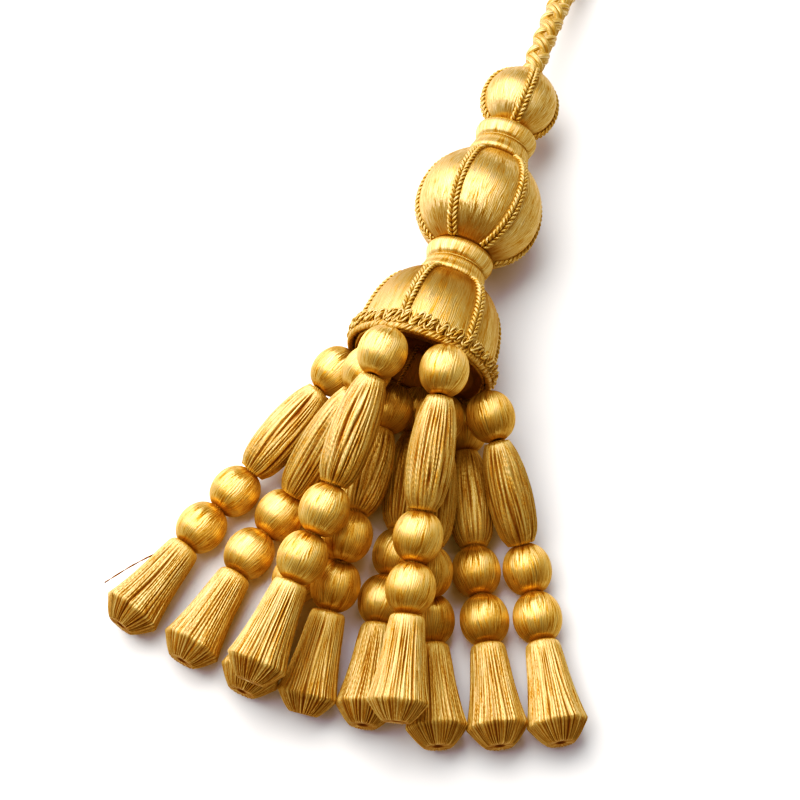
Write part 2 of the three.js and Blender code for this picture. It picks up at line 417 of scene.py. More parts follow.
plaitLook = {
    **yarnLook,
    "dark": (0.5, 0.26, 0.04),
    "colour": (0.7, 0.47, 0.16),
    "light": (0.84, 0.64, 0.3),
    "gapShade": 0.8,
    "grooveShade": 0.9,
    "bundleShade": 0.9,
    "threadShade": 1.9,
}
flossSilk = silk("floss_silk", headLook)
bellSilk = silk("bell_silk", bellLook)
beadSilk = silk("bead_silk", beadLook)
coverSilk = silk("cover_silk", coverLook)
dropSilk = silk("drop_silk", dropLook)
collarSilk = silk("collar_silk", collarLook)
braidYarn = silk("braid_yarn", {**plaitLook, "gap": (0.28, 0.1, 0.008), "gapShade": 1.0})
loopYarn = silk("loop_yarn", {**plaitLook, "grooveShade": 0.4})
cordYarn = silk("cord_yarn", {**plaitLook, "gapShade": 0.6, "grooveShade": 0.4})
plaitYarn = silk("plait_yarn", plaitLook)
# a dark copy of the yarn: painted shade on the link threads deep between the beads; the stray thread is
# made with it too
linkYarn = silk("link_yarn", {**yarnLook, "light": (0.36, 0.17, 0.025), "colour": (0.25, 0.1, 0.012)})
print("materials made")


# Mould: a profile turned about its axis and covered with strands laid from end to end
coverGrain = {
    "driftAcross": 2.5,  # noise steps across the mould
    "driftAlong": 0.7,  # noise steps from end to end
    "driftBy": 4,  # strands
    "valleyPower": 0.75,
    "gapAcross": 0.16,  # noise steps a strand
    "gapFrom": 0.36,
    "gapTo": 0.62,
    "leastGap": 0.25,
    "gapSeed": 9,  # added to the piece's seed
    "startClosed": 0.02,  # shares of the length with no gaps
    "endClosed": 0.04,
    "foldStep": 0.71,  # noise steps a strand, for ragged ends
    "foldSeed": 4,
    "threadShift": 7.3,  # threads that a seed moves the map
    "cellEdge": 0.01,
    "leastTuck": 0.001,
    "creasePower": 2,
    "lobePower": 3,  # lobes fade towards the narrow ends
    "shadePower": 0.5,
    "seam": 1e-6,  # metres within which points merge
}
plainMould = {
    "panels": 1.0,
    "capped": 1.0,  # both ends drawn in to a point
    "shadeFrom": 2.0,  # shares past the end: no painted shade on the end and no painted dark hole
    "holeFrom": 2.0,
}


def mouldTree():
    tree, given = geometryTree(
        "coveredMould",
        profile="Object",
        rings="Int",
        around="Int",
        length="Float",
        radius="Float",
        strands="Float",
        relief="Float",
        uneven="Float",
        opensBy="Float",
        gapRun="Float",
        ragged="Float",
        slant="Float",
        panels="Float",
        crease="Float",
        firstPanel="Float",
        capped="Float",
        holeDepth="Float",
        darkTo="Float",
        shadeFrom="Float",
        endShade="Float",
        startTuck="Float",
        endTuck="Float",
        tuckShade="Float",
        holeFrom="Float",
        threads="Float",
        seed="Float",
        cellLow="Float",
        cellHigh="Float",
        cover="Material",
    )
    grain = SimpleNamespace(**coverGrain)
    size = {"Size X": 1.0, "Size Y": 1.0, "Vertices X": given.rings + 1, "Vertices Y": given.around + 1}
    grid = put(tree, "GeometryNodeMeshGrid", size)
    place = put(tree, "ShaderNodeSeparateXYZ", {0: put(tree, "GeometryNodeInputPosition")})
    ring = (place + 0.5) * given.rings
    turn = place.other("Y") + 0.5
    start = ring.math("LESS_THAN", 0.5)
    end = ring.math("GREATER_THAN", given.rings - 0.5)
    share = ((ring - 1) / (given.rings - 2)).clamped()
    angle = turn * fullTurn - quarterTurn + share * given.slant
    cosine, sine = angle.math("COSINE"), angle.math("SINE")

    # gaps open and close between neighbouring strands
    driftAt = vector(tree, cosine * grain.driftAcross, sine * grain.driftAcross, share * grain.driftAlong)
    drift = noise(tree, driftAt, given.seed) - 0.5
    strand = turn * given.strands + drift * given.uneven * grain.driftBy
    cut = strand.math("FRACT") * 2 - 1
    valley = (1 - (1 - cut * cut).math("MAXIMUM", 0).math("SQRT")) ** grain.valleyPower
    gapX = cosine * given.strands * grain.gapAcross
    gapY = sine * given.strands * grain.gapAcross
    gapNoise = noise(tree, vector(tree, gapX, gapY, share * given.gapRun), given.seed + grain.gapSeed)
    openness = smoothStep(gapNoise, grain.gapFrom, grain.gapTo) * (1 - grain.leastGap) + grain.leastGap
    opens = smoothStep(share, grain.startClosed, given.opensBy)
    opening = opens * smoothStep(1 - share, 0.0, grain.endClosed)
    gap = valley * openness * opening * given.relief.math("GREATER_THAN", 0)

    # each strand ends a little sooner or later than the next
    ownStrand = strand.math("FLOOR").math("FLOORED_MODULO", given.strands)
    fold = noise(tree, vector(tree, ownStrand * grain.foldStep, 0.0), given.seed + grain.foldSeed) - 0.5
    shape = put(tree, "GeometryNodeObjectInfo", {"Object": given.profile}, output="Geometry")
    scale = vector(tree, given.radius, 1.0, given.length)
    shape = put(tree, "GeometryNodeTransform", {"Geometry": shape, "Scale": scale})
    inputs = {"Curves": shape, "Factor": (share + fold * opening * given.ragged).clamped()}
    outline = put(tree, "GeometryNodeSampleCurve", inputs, "Position", mode="FACTOR", use_all_curves=True)
    reach = put(tree, "ShaderNodeSeparateXYZ", {0: outline})

    panel = (angle - given.firstPanel) * given.panels / fullTurn
    offPanel = (panel - panel.math("ROUND")).math("ABSOLUTE") * 2
    groove = given.crease * (1 - offPanel) ** grain.creasePower
    lobed = 1 - groove * (reach / given.radius) ** grain.lobePower
    radius = (reach * lobed - given.relief * gap) * (1 - (start + end) * given.capped)
    height = reach.other("Z") + (start - end) * given.holeDepth * given.capped

    threadU = turn * given.threads + given.seed * grain.threadShift
    threadAt = vector(tree, threadU, share * given.length * inMillimetres)
    mapped = store(grid, "threadMap", threadAt, "FLOAT2", "CORNER")
    cellU = turn * (1 - 2 * grain.cellEdge) + grain.cellEdge
    cellV = given.cellLow + share * (given.cellHigh - given.cellLow)
    mapped = store(mapped, "OFBake", vector(tree, cellU, cellV), "FLOAT2", "CORNER")
    # painted shade inside the bell's recess
    inside = share.math("LESS_THAN", given.darkTo)
    # painted shade past shadeFrom: the drop's lower cone, the hem's backing
    under = share.math("GREATER_THAN", given.shadeFrom) * given.endShade
    # painted shade in the drop's hole past holeFrom, and at the last ring of every mould
    hole = share.math("GREATER_THAN", given.holeFrom).math("MAXIMUM", end)
    # painted shade, darkening towards the ends where each mould meets the next part
    shadeAtStart = 1 - smoothStep(share, 0.0, given.startTuck + grain.leastTuck)
    shadeAtEnd = 1 - smoothStep(1 - share, 0.0, given.endTuck + grain.leastTuck)
    paintedEnds = shadeAtStart.math("MAXIMUM", shadeAtEnd) * given.tuckShade
    # painted shade, kept in the "gap" attribute: darker in the gaps between strands than their relief
    # alone makes them
    shade = (gap**grain.shadePower + under).math("MAXIMUM", paintedEnds)
    mapped = store(mapped, "gap", shade.math("MAXIMUM", inside).math("MAXIMUM", hole))
    moved = vector(tree, radius * cosine, radius * sine, height)
    turned = put(tree, "GeometryNodeSetPosition", {"Geometry": mapped, "Position": moved})
    merged = put(tree, "GeometryNodeMergeByDistance", {"Geometry": turned, "Distance": grain.seam})
    return closeTree(put(tree, "GeometryNodeFlipFaces", {0: merged}), given.cover)


# Cord: plies wound round a line, each a round strand
def windPlies(line, plies, pitch, offset, hand=1.0, plait=0.0, spread=0.0):
    tree = line.tree
    lines = copies(line, plies)
    ply = lines.other("Duplicate Index")
    run = put(tree, "GeometryNodeSplineParameter", output="Length")
    turns = run / pitch * fullTurn
    if plait:  # half the strands wind the other way, over and under, in pairs side by side
        back = ply.math("MODULO", 2) * 2 - 1
        beside = (ply / 2).math("FLOOR").math("MODULO", 2) - 0.5
        opposite = ply.math("GREATER_THAN", plies / 2 - 0.5)
        angle = turns * back + opposite * math.pi + beside * spread
        reach = (turns * 2).math("COSINE") * back * plait + offset
    else:
        angle = turns * hand + ply * fullTurn / plies
        reach = offset
    normal = put(tree, "GeometryNodeInputNormal")
    tangent = put(tree, "GeometryNodeInputTangent")
    side = vectorMath(tree, "CROSS_PRODUCT", tangent, normal)
    outwards = vectorMath(tree, "SCALE", normal, angle.math("COSINE"))
    sideways = vectorMath(tree, "SCALE", side, angle.math("SINE"))
    facing = vectorMath(tree, "ADD", outwards, sideways)
    lines = store(lines, "facing", facing, "FLOAT_VECTOR")
    shift = vectorMath(tree, "SCALE", facing, reach)
    wound = put(tree, "GeometryNodeSetPosition", {"Geometry": lines, "Offset": shift})
    kept = stored(tree, "facing", "FLOAT_VECTOR")
    return put(tree, "GeometryNodeSetCurveNormal", {"Curve": wound, "Normal": kept}, mode="FREE")


def strandMesh(line, radius, sides, cell, threads, flatness=1.0, openness=0.25):
    tree = line.tree
    rowShift = 3.7  # threads from one strand to the next on the map
    rowUse, rowEdge = 0.9, 0.05  # of a strand's row in the cell
    gapFade = 0.35
    parameter = put(tree, "GeometryNodeSplineParameter")
    marked = store(line, "run", parameter.other("Length"))
    marked = store(marked, "share", parameter)
    marked = store(marked, "row", put(tree, "GeometryNodeInputIndex"), domain="CURVE")
    count = put(tree, "GeometryNodeAttributeDomainSize", {0: line}, "Spline Count", component="CURVE")
    circle = put(tree, "GeometryNodeCurvePrimitiveCircle", {"Resolution": sides, "Radius": radius})
    circle = store(circle, "turn", put(tree, "GeometryNodeSplineParameter"))
    flattened = vector(tree, flatness, 1.0, 1.0)
    circle = put(tree, "GeometryNodeTransform", {"Geometry": circle, "Scale": flattened})
    inputs = {"Curve": marked, "Profile Curve": circle, "Fill Caps": True}
    tube = put(tree, "GeometryNodeCurveToMesh", inputs)

    turn = stored(tree, "turn")
    row = stored(tree, "row")
    threadAt = vector(tree, turn * threads + row * rowShift, stored(tree, "run") * inMillimetres)
    tube = store(tube, "threadMap", threadAt, "FLOAT2", "CORNER")
    cellLow, cellHigh = cell
    cellRow = (row + turn * rowUse + rowEdge) / count
    cellAt = vector(tree, stored(tree, "share"), cellLow + cellRow * (cellHigh - cellLow))
    tube = store(tube, "OFBake", cellAt, "FLOAT2", "CORNER")
    # painted shade on the side of each ply that turns in towards the others
    turnedIn = 0.5 - (turn * fullTurn).math("COSINE") * 0.5
    return store(tube, "gap", smoothStep(turnedIn, openness, openness + gapFade))


def twoPlyCord(line, given, sides, cell, hand=1.0, openness=0.25):
    plyReach = 0.9  # of a ply's radius, from the middle of the cord
    wound = windPlies(line, 2, given.pitch, given.ply * plyReach, hand)
    strands = strandMesh(wound, given.ply, sides, cell, threads=4, openness=openness)
    return closeTree(strands, given.cover)


def pathCurve(path, step):
    line = put(path.tree, "GeometryNodeMeshToCurve", {0: path})
    line = put(path.tree, "GeometryNodeCurveSplineType", {"Curve": line}, spline_type="CATMULL_ROM")
    return stepped(line, step)


def cordPairTree():
    tree, given = geometryTree(
        "cordPairs",
        profile="Object",
        length="Float",
        radius="Float",
        panels="Float",
        crease="Float",
        firstPanel="Float",
        ply="Float",
        pitch="Float",
        lift="Float",
        aside="Float",
        cordFrom="Float",
        cordTo="Float",
        cover="Material",
    )
    profileSteps, turnSteps = 60, 9
    shape = put(tree, "GeometryNodeObjectInfo", {"Object": given.profile}, output="Geometry")
    inputs = {"Curve": shape, "Start": given.cordFrom, "End": given.cordTo}
    part = put(tree, "GeometryNodeTrimCurve", inputs)
    line = put(tree, "GeometryNodeResampleCurve", {"Curve": part, "Count": profileSteps})
    lines = copies(line, given.panels * 2)
    copy = lines.other("Duplicate Index")
    hand = copy.math("MODULO", 2) * 2 - 1  # the two cords of a pair twist opposite ways
    lines = store(lines, "hand", hand)
    place = put(tree, "ShaderNodeSeparateXYZ", {0: put(tree, "GeometryNodeInputPosition")})
    lobed = 1 - given.crease * place ** coverGrain["lobePower"]
    radius = given.radius * place * lobed + given.ply * given.lift
    angle = given.firstPanel + (copy / 2).math("FLOOR") * fullTurn / given.panels
    cosine, sine = angle.math("COSINE"), angle.math("SINE")
    aside = hand * given.ply * given.aside
    x = radius * cosine - aside * sine
    y = radius * sine + aside * cosine
    moved = vector(tree, x, y, place.other("Z") * given.length)
    lines = put(tree, "GeometryNodeSetPosition", {"Geometry": lines, "Position": moved})
    lines = stepped(lines, given.pitch / turnSteps)
    return twoPlyCord(lines, given, sides=6, cell=(0.62, 0.99), hand=stored(tree, "hand"))


def threadTree():
    given = geometryTree(
        "pliedThread",
        ply="Float",
        pitch="Float",
        cellLow="Float",
        cellHigh="Float",
        cover="Material",
    )[1]
    turnSteps = 8
    line = pathCurve(given.geometry, given.pitch / turnSteps)
    return twoPlyCord(line, given, sides=6, cell=(given.cellLow, given.cellHigh))


def plaitTree():
    tree, given = geometryTree(
        "pairedPlait",
        strand="Float",
        middle="Float",
        weave="Float",
        pitch="Float",
        step="Float",
        flatness="Float",
        spread="Float",
        core="Float",
        cover="Material",
    )
    strandCount = 8  # four pairs
    # painted shade on the core, deep between the strands
    coreShade = 0.5
    line = pathCurve(given.geometry, given.step)
    wound = windPlies(line, strandCount, given.pitch, given.middle, plait=given.weave, spread=given.spread)
    flat = {"flatness": given.flatness, "openness": 0.3}
    strands = strandMesh(wound, given.strand, sides=10, cell=(0.11, 0.99), threads=9, **flat)
    core = strandMesh(line, given.core, sides=12, cell=(0.01, 0.09), threads=24)
    both = put(tree, "GeometryNodeJoinGeometry", {0: store(core, "gap", coreShade)})
    feed(both.socket.node, 0, strands)
    return closeTree(both, given.cover)


def zigzagTree():
    tree, given = geometryTree(
        "hemZigzag",
        ringRadius="Float",
        points="Int",
        fewer="Int",
        middle="Float",
        swing="Float",
        layer="Float",
        ply="Float",
        pitch="Float",
        lumps="Float",
        lumpTurn="Float",
        lumpSwing="Float",
        overlay="Float",
        seed="Float",
        cover="Material",
    )
    cords, pointSteps, turnSteps = 2, 14, 12
    copyShift = 5.0  # noise steps between the two cords
    line = put(tree, "GeometryNodeCurvePrimitiveLine")
    line = put(tree, "GeometryNodeResampleCurve", {"Curve": line, "Count": given.points * pointSteps + 1})
    lines = copies(line, cords)
    copy = lines.other("Duplicate Index")
    around = put(tree, "GeometryNodeSplineParameter") * fullTurn
    beat = around * (given.points - copy * given.fewer)
    lumpX = around.math("COSINE") * given.lumps
    lumpY = around.math("SINE") * given.lumps
    lump = noise(tree, vector(tree, lumpX, lumpY, copy * copyShift), given.seed) - 0.5
    angle = around + lump * given.lumpTurn - quarterTurn
    layered = given.ringRadius + beat.math("COSINE") * given.layer
    radius = layered + (lump + copy * given.overlay) * given.layer
    swung = beat.math("SINE") * given.swing * (1 + lump * given.lumpSwing)
    height = given.middle + swung + lump * given.swing
    moved = vector(tree, radius * angle.math("COSINE"), radius * angle.math("SINE"), height)
    lines = put(tree, "GeometryNodeSetPosition", {"Geometry": lines, "Position": moved})
    lines = stepped(lines, given.pitch / turnSteps)
    return twoPlyCord(lines, given, sides=5, cell=(0.5, 0.99), openness=0.5)


trees = SimpleNamespace(
    mould=mouldTree(), pairs=cordPairTree(), thread=threadTree(), plait=plaitTree(), zigzag=zigzagTree()
)
print("node trees built")


# Profiles: rows of length share and radius share, with a third word at a sharp corner
def profileObject(name, rows):
    curve = bpy.data.curves.new(name, "CURVE")
    curve.dimensions = "3D"
    spline = curve.splines.new("BEZIER")
    spline.bezier_points.add(len(rows) - 1)
    for point, (along, radius, *corner) in zip(spline.bezier_points, rows):
        point.co = (radius, 0, along)
        handles = "VECTOR" if corner else "AUTO"
        point.handle_left_type = handles
        point.handle_right_type = handles
    holder = bpy.data.objects.new(name, curve)
    scene.collection.objects.link(holder)
    return holder


def ovalRows(endShare, fullness=1.0, lean=0.0, steps=12):
    first = math.asin(endShare ** (1 / fullness))
    rows = []
    for step in range(steps + 1):
        angle = first + (math.pi - 2 * first) * step / steps
        along = 0.5 - 0.5 * math.cos(angle) / math.cos(first)
        rows.append((along - lean * math.sin(math.pi * along), math.sin(angle) ** fullness))
    return rows


def domeRows(foot, topShare, fullness, steps=9):
    last = math.acos(topShare ** (1 / fullness))
    rows = []
    for step in range(steps + 1):
        angle = last * step / steps
        rise = math.sin(angle) / math.sin(last)
        rows.append((foot + (1 - foot) * rise, math.cos(angle) ** fullness))
    return rows


# Places read from the frame
def nodePoints(node):
    return [vertex.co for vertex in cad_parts[node].data.vertices]


def middleOf(node):
    points = nodePoints(node)
    return sum(points, Vector()) / len(points)


def spanOf(node, origin, way):
    reaches = [(point - origin).dot(way) for point in nodePoints(node)]
    return min(reaches), max(reaches)


def laid(start, way):
    side = up.cross(way).normalized()
    lift = way.cross(side)
    turn = Matrix((side, lift, way)).transposed().to_4x4()
    return Matrix.Translation(start) @ turn


def pathMesh(paths):
    mesh = bpy.data.meshes.new("path")
    points = []
    edges = []
    for path in paths:
        first = len(points)
        points += path
        edges += [(first + i, first + i + 1) for i in range(len(path) - 1)]
    mesh.from_pydata(points, edges, [])
    return mesh


def ringPath(radius, height, steps):
    turns = [fullTurn * step / steps - quarterTurn for step in range(steps + 1)]
    return [Vector((radius * math.cos(turn), radius * math.sin(turn), height)) for turn in turns]


# Head axis, from the hem to the cord
bellMouth = middleOf("hem_braid")
headAt = middleOf("crown_ball")
headWay = (headAt - bellMouth).normalized()


def headPlace(node):
    low, high = spanOf(node, headAt, headWay)
    return laid(headAt + headWay * low, headWay), high - low


# Suspension cord: the same route as the solid's, with four pairs of strands plaited round a core
suspension = {
    "diameter": 6.4 * mm,
    "strand": 1.2 * mm,
    "flatness": 0.9,
    "spread": 0.85,  # radians between the strands of a pair
    "core": 2.4 * mm,
    "middle": 2.1 * mm,
    "weave": 0.45 * mm,
    "pitch": 13.6 * mm,
    "step": 0.4 * mm,
    "exitGap": 0.3 * mm,
    "cover": plaitYarn,
}
cordRows = (  # millimetres past the crown ball, sideways, above the table
    (0, 0, 15.5),
    (5, 0, 15.25),
    (10, 0, 14.85),
    (15, 0, 14.25),
    (20, 0, 13.35),
    (25, 0, 12.15),
    (30, 0.2, 10.7),
    (35, 0.5, 9.2),
    (40, 0.9, 7.7),
    (45, 1.4, 6.35),
    (50, 2.1, 5.15),
    (55, 2.85, 4.25),
    (60, 3.7, 3.6),
    (65, 4.6, 3.2),
    (70, 5.6, 3),
    (75, 6.7, 3),
    (80, 7.8, 3),
)


def layRoute():
    crownTop = spanOf("crown_ball", headAt, headWay)[1]
    start = headAt + headWay * (crownTop + suspension["exitGap"])
    route = []
    for along, drift, height in cordRows:
        route.append(Vector((start.x + drift * mm, start.y + along * mm, height * mm)))
    return route


def makeCord():
    mesh = grow(trees.plait, suspension, pathMesh([cordRoute]))
    return finishPiece("suspension_cord_plait", [mesh], ["suspension_cord"])


# Knot: a ribbed core whipped round with a thicker thread
knotCore = {
    "radius": 4.0 * mm,
    "rings": 16,  # faces from end to end
    "around": 48,  # faces round it
    "strands": 24.0,
    "relief": 0.25 * mm,  # depth of the gaps between strands
    "uneven": 0.3,
    "opensBy": 0.1,  # share of the length where the gaps are open
    "gapRun": 2.2,  # noise steps from end to end
    "holeDepth": 0.3 * mm,
    "threads": 60.0,  # on the silk's map, once round
    "seed": 3.0,
    "cellLow": 0.01,  # rows of the bake map that it fills
    "cellHigh": 0.3,
    "cover": cordYarn,
}
knotRows = ((0, 0.6), (0.2, 0.95), (0.5, 1), (0.85, 0.9), (1, 0.5))
knotWhip = {
    "radius": 3.9 * mm,
    "turns": 4,
    "turnSteps": 30,
    "from": 0.18,  # shares of the knot's length
    "over": 0.56,
    "ply": 1.0 * mm,
    "pitch": 5.2 * mm,
    "cellLow": 0.32,
    "cellHigh": 0.98,
    "cover": cordYarn,
}


def makeKnot():
    way = cordRoute[-1] - cordRoute[-2]
    way = Vector((way.x, way.y, 0)).normalized()
    low, high = spanOf("cord_knot", cordRoute[-1], way)
    length = high - low
    start = middleOf("cord_knot") - way * (length / 2)
    profile = profileObject("knotProfile", knotRows)
    core = grow(trees.mould, {**plainMould, **knotCore, "profile": profile, "length": length})
    wraps = []
    steps = knotWhip["turnSteps"] * knotWhip["turns"]
    for step in range(steps + 1):
        angle = fullTurn * knotWhip["turns"] * step / steps
        along = length * (knotWhip["from"] + knotWhip["over"] * step / steps)
        x = knotWhip["radius"] * math.cos(angle)
        y = knotWhip["radius"] * math.sin(angle)
        wraps.append(Vector((x, y, along)))
    meshes = [core, grow(trees.thread, knotWhip, pathMesh([wraps]))]
    setInPlace(meshes, laid(start, way), profile)
    return finishPiece("cord_knot_whipping", meshes, ["cord_knot"])


cordRoute = layRoute()
plait = makeCord()
knot = makeKnot()


# Head moulds, with pairs of thin twisted cord in their grooves
pumpkin = {
    "radius": 18.1 * mm,
    "endShare": 0.47,
    "lean": 0.03,
    "panels": 6.0,
    "crease": 0.06,
    "firstPanel": -80,  # degrees
    "rings": 60,
    "around": 252,
    "threads": 235.0,
    "cordFrom": 0.0,
    "cordTo": 1.0,
    "startTuck": 0.26,  # shares of the length with painted shade, darker towards the ends
    "endTuck": 0.12,
    "cover": flossSilk,
}
crownBall = {
    "radius": 10.9 * mm,
    "endShare": 0.31,
    "lean": 0.0,
    "panels": 4.0,
    "crease": 0.04,
    "firstPanel": -78,
    "rings": 40,
    "around": 168,
    "threads": 142.0,
    "cordFrom": 0.0,
    "cordTo": 1.0,
    "startTuck": 0.22,
    "endTuck": 0.12,
    "cover": flossSilk,
}
bell = {
    "radius": 19.4 * mm,
    "foot": 0.2,  # the straight part above the hem
    "topShare": 0.52,
    "fullness": 0.54,
    "panels": 6.0,
    "crease": 0.03,
    "firstPanel": -80,
    "rings": 70,
    "around": 252,
    "threads": 250.0,
    "darkTo": 0.3,  # painted shade in the recess, as a share of the profile
    "cordFrom": 0.42,
    "cordTo": 1.0,
    # painted shade over the upper part of the bell, darkest at the top
    "startTuck": 0.0,
    "endTuck": 0.62,
    "cover": bellSilk,
}
bellMouthRows = [
    (0.34, 0.574, "sharp"),
    (0.0, 0.82, "sharp"),
    (0.0, 0.96, "sharp"),
    (0.02, 0.975),
    (0.1, 0.992),
]
headFloss = {"seed": 5.0, "tuckShade": 0.6, "cellLow": 0.01, "cellHigh": 0.6}
cordPair = {
    "ply": 0.41 * mm,
    "pitch": 2.8 * mm,
    "lift": 1.2,  # plies above the mould
    "aside": 1.9,  # plies from the middle of the groove
    "cover": cordYarn,
}


def makeMould(node, look, rows):
    place, length = headPlace(node)
    profile = profileObject(node + "_profile", rows)
    firstPanel = math.radians(look["firstPanel"]) + quarterTurn
    values = {**look, "profile": profile, "length": length, "firstPanel": firstPanel}
    body = grow(trees.mould, {**plainMould, **headFloss, **values})
    meshes = [body, grow(trees.pairs, {**values, **cordPair})]
    setInPlace(meshes, place, profile)
    finishPiece(node + "_silk", meshes, [node])


makeMould("pumpkin", pumpkin, ovalRows(pumpkin["endShare"], lean=pumpkin["lean"]))
makeMould("crown_ball", crownBall, ovalRows(crownBall["endShare"], lean=crownBall["lean"]))
makeMould("bell", bell, bellMouthRows + domeRows(bell["foot"], bell["topShare"], bell["fullness"]))
print("head moulds covered")


# Collars: a flared foot and a round upper band, with a thin thread in the groove between
collarRadius = {"lower_collar": 9.7 * mm, "upper_collar": 9.0 * mm}
collarCover = {
    "rings": 44,
    "around": 144,
    "slant": 0.12,  # radians from end to end
    "threads": 112.0,
    "cellLow": 0.01,
    "cellHigh": 0.9,
    "cover": collarSilk,
}
collarRows = (
    (0.0, 0.9),
    (0.05, 0.98),
    (0.12, 1.0),
    (0.28, 0.94),
    (0.44, 0.89),
    (0.47, 0.84, "sharp"),
    (0.52, 0.84, "sharp"),
    (0.55, 0.9),
    (0.68, 0.97),
    (0.82, 1.0),
    (0.94, 0.96),
    (1.0, 0.88),
)
grooveThread = {
    "at": 0.495,  # share of the collar's length
    "share": 0.85,  # of its radius
    "steps": 48,
    "ply": 0.13 * mm,
    "pitch": 0.9 * mm,
    "cellLow": 0.91,
    "cellHigh": 0.99,
    "cover": cordYarn,
}


def makeCollar(node, radius):
    place, length = headPlace(node)
    profile = profileObject(node + "_profile", collarRows)
    fitted = {"profile": profile, "length": length, "radius": radius, "seed": radius / mm}
    body = grow(trees.mould, {**plainMould, **collarCover, **fitted})
    ring = ringPath(radius * grooveThread["share"], length * grooveThread["at"], grooveThread["steps"])
    meshes = [body, grow(trees.thread, grooveThread, pathMesh([ring]))]
    setInPlace(meshes, place, profile)
    finishPiece(node + "_silk", meshes, [node])


for node, radius in collarRadius.items():
    makeCollar(node, radius)
print("collars covered")


# Hem braid: two zigzag cords over a band of short slanted stitches
hemZigzag = {
    "ringRadius": 20.6 * mm,
    "points": 50,
    "fewer": 15,  # points that the second cord lacks
    "middle": 3.7 * mm,
    "swing": 1.75 * mm,
    "layer": 0.36 * mm,
    "overlay": 0.6,  # layers that the second cord lies higher
    "lumps": 14.0,  # noise steps across the ring
    "lumpTurn": 0.08,
    "lumpSwing": 1.4,
    "seed": 2.0,
    "ply": 0.34 * mm,
    "pitch": 4.8 * mm,
    "cover": loopYarn,
}
hemBand = {
    "radius": 20.9 * mm,
    "length": 4.9 * mm,
    "rings": 30,
    "around": 720,
    "strands": 116.0,
    "relief": 0.8 * mm,
    "uneven": 2.0,
    "opensBy": 0.1,
    "gapRun": 2.2,
    "slant": math.radians(17),  # whole steps of the grid, so the seam closes
    "capped": 0.0,
    "threads": 348.0,
    "seed": 2.0,
    # painted shade on the backing behind the zigzag cords
    "shadeFrom": 0.55,
    "endShade": 0.55,
    "cellLow": 0.01,
    "cellHigh": 0.48,
    "cover": braidYarn,
}
hemBandRows = (
    (0.5, 0.938, "sharp"),
    (0.05, 0.938, "sharp"),
    (0.0, 0.965),
    (0.1, 0.995),
    (0.28, 1.0),
    (0.42, 0.985),
    (0.52, 0.962, "sharp"),
    (0.97, 0.955, "sharp"),
    (0.97, 0.938, "sharp"),
    (0.5, 0.938, "sharp"),
)


def makeBraid():
    place = headPlace("hem_braid")[0]
    profile = profileObject("hem_profile", hemBandRows)
    band = grow(trees.mould, {**plainMould, **hemBand, "profile": profile})
    meshes = [band, grow(trees.zigzag, hemZigzag)]
    setInPlace(meshes, place, profile)
    finishPiece("hem_braid_loops", meshes, ["hem_braid"])


makeBraid()
print("hem braided")


# Strings of beads
ball = {
    "length": 13.6 * mm,
    "radius": 6.65 * mm,
    "endShare": 0.34,
    "fullness": 0.84,
    "topTilt": 0.4,  # share of the olive's slope that the top ball takes
    "rings": 28,
    "around": 84,
    "threads": 76.0,
    "slant": 0.25,
    "holeDepth": 0.6 * mm,
    # painted shade towards both ends of each ball
    "startTuck": 0.16,
    "endTuck": 0.26,
    "tuckShade": 0.5,
    "seedStep": 3.1,
    "cellLow": 0.01,
    "cellHigh": 0.3,
    "cellStep": 0.31,
    "cover": beadSilk,
}
olive = {
    "radius": 6.25 * mm,
    "rings": 30,
    "around": 186,
    "strands": 31.0,
    "relief": 1.0 * mm,
    "uneven": 1.0,
    "opensBy": 0.15,
    "gapRun": 2.2,
    "threads": 93.0,
    "seedStep": 2.3,
    "cellLow": 0.01,
    "cellHigh": 0.48,
    "cover": coverSilk,
}
oliveRows = ((0.0, 0.55), (0.14, 0.79), (0.36, 0.96), (0.62, 1.0), (0.86, 0.88), (1.0, 0.59))
drop = {
    "radius": 7.9 * mm,
    "rings": 50,
    "around": 250,
    "strands": 50.0,
    "relief": 1.0 * mm,
    "uneven": 0.9,
    "opensBy": 0.2,
    "gapRun": 0.9,
    "ragged": 0.05,
    "panels": 9.0,
    "crease": -0.075,  # bulges at the flared rim
    "firstPanel": 0.3,  # radians
    "threads": 150.0,
    "holeDepth": 4.5 * mm,
    # painted shade on the lower cone, past the rim
    "shadeFrom": 0.745,
    "endShade": 0.2,
    # painted shade in the hole at the tip
    "holeFrom": 0.985,
    "seedStep": 1.7,
    "cellLow": 0.51,
    "cellHigh": 0.98,
    "cover": dropSilk,
}
dropRows = (
    (0.0, 0.5),
    (0.03, 0.58),
    (0.12, 0.63),
    (0.42, 0.75),
    (0.7, 0.91),
    (0.815, 1.0, "sharp"),
    (0.94, 0.69),
    (1.0, 0.48, "sharp"),
    (0.99, 0.15, "sharp"),
)
strayThread = {  # one loose thread beside a drop
    "string": 1,
    "turn": -21,  # degrees off the drop
    "length": 17 * mm,
    "start": 7 * mm,  # down the drop
    "aside": 4.6 * mm,
    "lift": 1.5 * mm,
    "rise": 1.2 * mm,  # at half its length
    "tip": 0.4 * mm,
    "ply": 0.13 * mm,
    "pitch": 9.0 * mm,
    "cellLow": 0.985,
    "cellHigh": 0.995,
    "cover": linkYarn,
}
linkThread = {
    "seatDepth": 4 * mm,  # inside the bell's mouth
    "seatSpread": 0.6,  # of the way out to the top ball
    "overlap": 1.5 * mm,  # into the beads at both ends
    "ply": 0.3 * mm,
    "pitch": 1.8 * mm,
    "cellLow": 0.94,
    "cellHigh": 0.99,
    "cover": linkYarn,
}
tieThread = {
    "radius": 1.9 * mm,
    "steps": 24,
    "ply": 0.2 * mm,
    "pitch": 1.4 * mm,
    "cellLow": 0.99,
    "cellHigh": 0.999,
    "cover": cordYarn,
}
stringCount = 10
